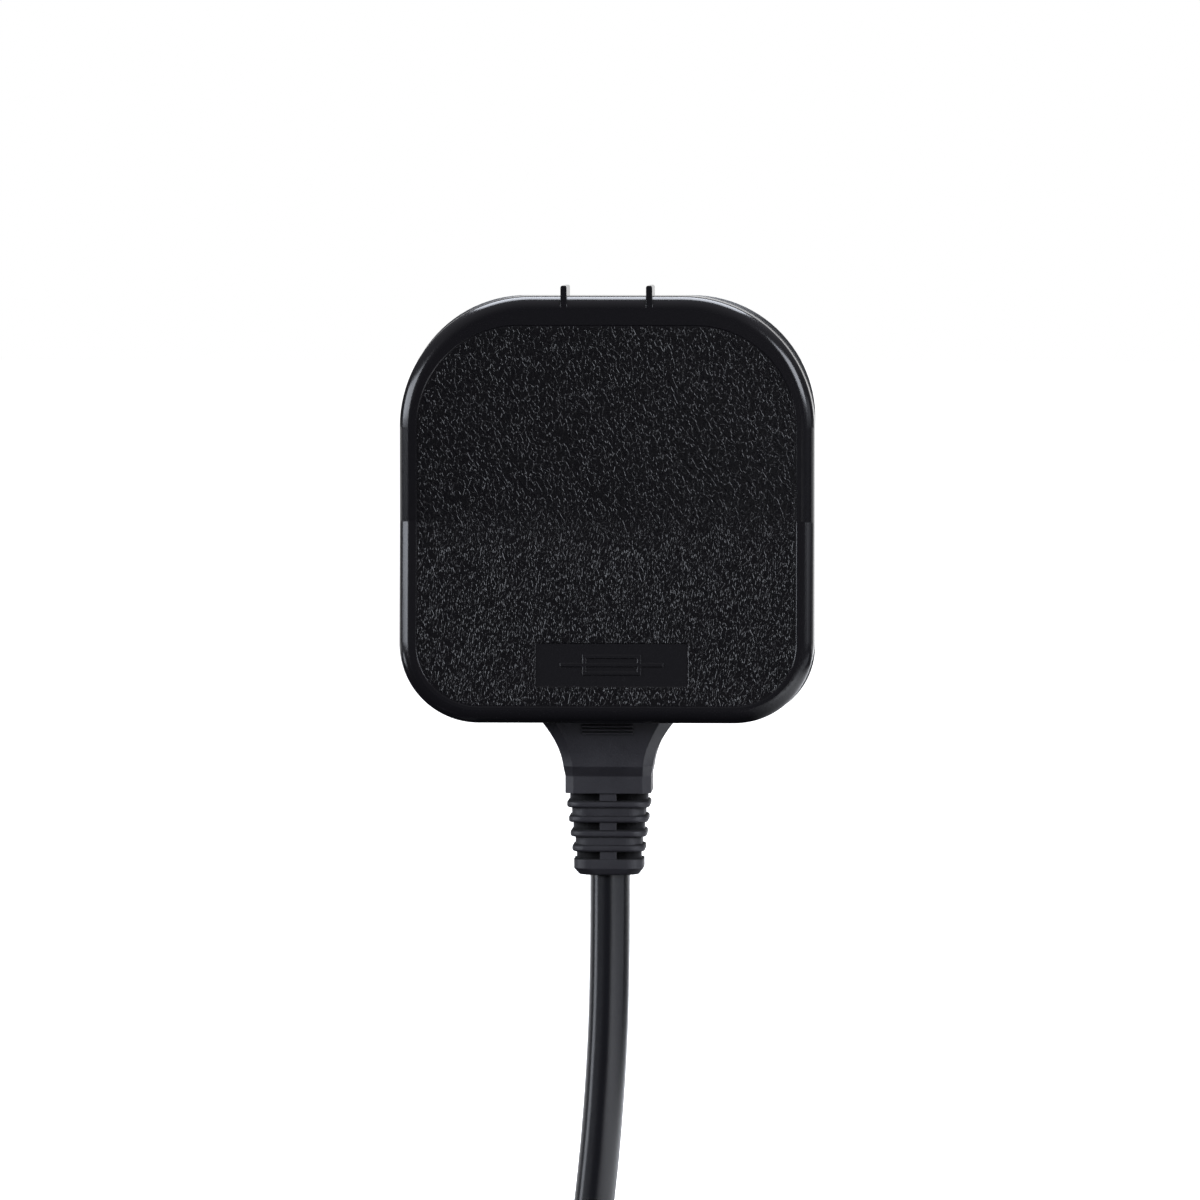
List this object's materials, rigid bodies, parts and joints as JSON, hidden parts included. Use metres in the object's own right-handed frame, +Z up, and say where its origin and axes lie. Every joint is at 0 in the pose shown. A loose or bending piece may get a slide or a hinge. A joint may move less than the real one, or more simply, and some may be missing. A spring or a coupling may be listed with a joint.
{
  "type": "fused conversion plug on a cord",
  "caption": "Black plug adapter: a screwed, fused shell closed over a flat moulded plug, with a ribbed strain relief, a thin round cord in a tied coil and a small appliance connector.",
  "frame": {"origin": "middle of the pin face, on the flat face that meets the wall socket", "axes": "+Y out of the pin face into the wall, +Z up towards the earth pin's end and away from the cord, +X to the right seen from the front"},
  "size_m": [0.1167, 0.1125, 0.1512],
  "materials": {
    "shell_cover": "black moulded plastic, fine leather-like spark-eroded panel inside a smooth border",
    "shell_base": "black moulded plastic, fine matt grain",
    "fibre_board": "pale pressed insulating board",
    "screw_steel": "bright zinc-plated steel",
    "pin_brass": "polished brass",
    "sleeve_black": "black moulded sleeve",
    "earth_plastic": "black glass-filled plastic, satin",
    "fuse_ceramic": "cream glazed ceramic",
    "fuse_wire": "tinned wire",
    "fuse_cap_metal": "nickel-plated brass",
    "carrier_plastic": "dark red moulded plastic, satin",
    "contact_brass": "rolled brass sheet",
    "block_plastic": "light grey moulded plastic",
    "plug_vinyl": "black soft vinyl, satin with fine grain",
    "plug_pin_metal": "nickel-plated brass",
    "cord_vinyl": "black smooth vinyl jacket, half gloss",
    "tie_strap": "black woven hook-and-loop strap",
    "connector_vinyl": "black soft vinyl, satin with fine grain",
    "connector_metal": "tinned brass"
  },
  "bodies": {
    "housing": {"cover": "shell_cover", "base": "shell_base", "insulating_plate": "fibre_board", "screw_left": "screw_steel", "screw_right": "screw_steel", "line_pin": "pin_brass", "neutral_pin": "pin_brass", "line_pin_sleeve": "sleeve_black", "neutral_pin_sleeve": "sleeve_black", "earth_pin": "earth_plastic", "line_clip": "contact_brass", "load_clip": "contact_brass", "neutral_contact": "contact_brass", "line_contact": "contact_brass", "socket_block": "block_plastic", "inner_plug": "plug_vinyl", "plug_pin_left": "plug_pin_metal", "plug_pin_right": "plug_pin_metal", "plug_pin_left_sleeve": "sleeve_black", "plug_pin_right_sleeve": "sleeve_black", "cord": "cord_vinyl", "cord_coil": "cord_vinyl", "cord_tie": "tie_strap", "connector_body": "connector_vinyl", "connector_contact_left": "connector_metal", "connector_contact_right": "connector_metal"},
    "fuse_drawer": {"fuse_carrier": "carrier_plastic", "fuse_tube": "fuse_ceramic", "fuse_link": "fuse_wire", "fuse_cap_left": "fuse_cap_metal", "fuse_cap_right": "fuse_cap_metal"}
  },
  "joints": [
    {"name": "fuse_carrier_slide", "type": "slide", "parent": "housing", "child": "fuse_drawer", "axis": [0, 1, 0], "range_m": [0, 0.009]}
  ]
}
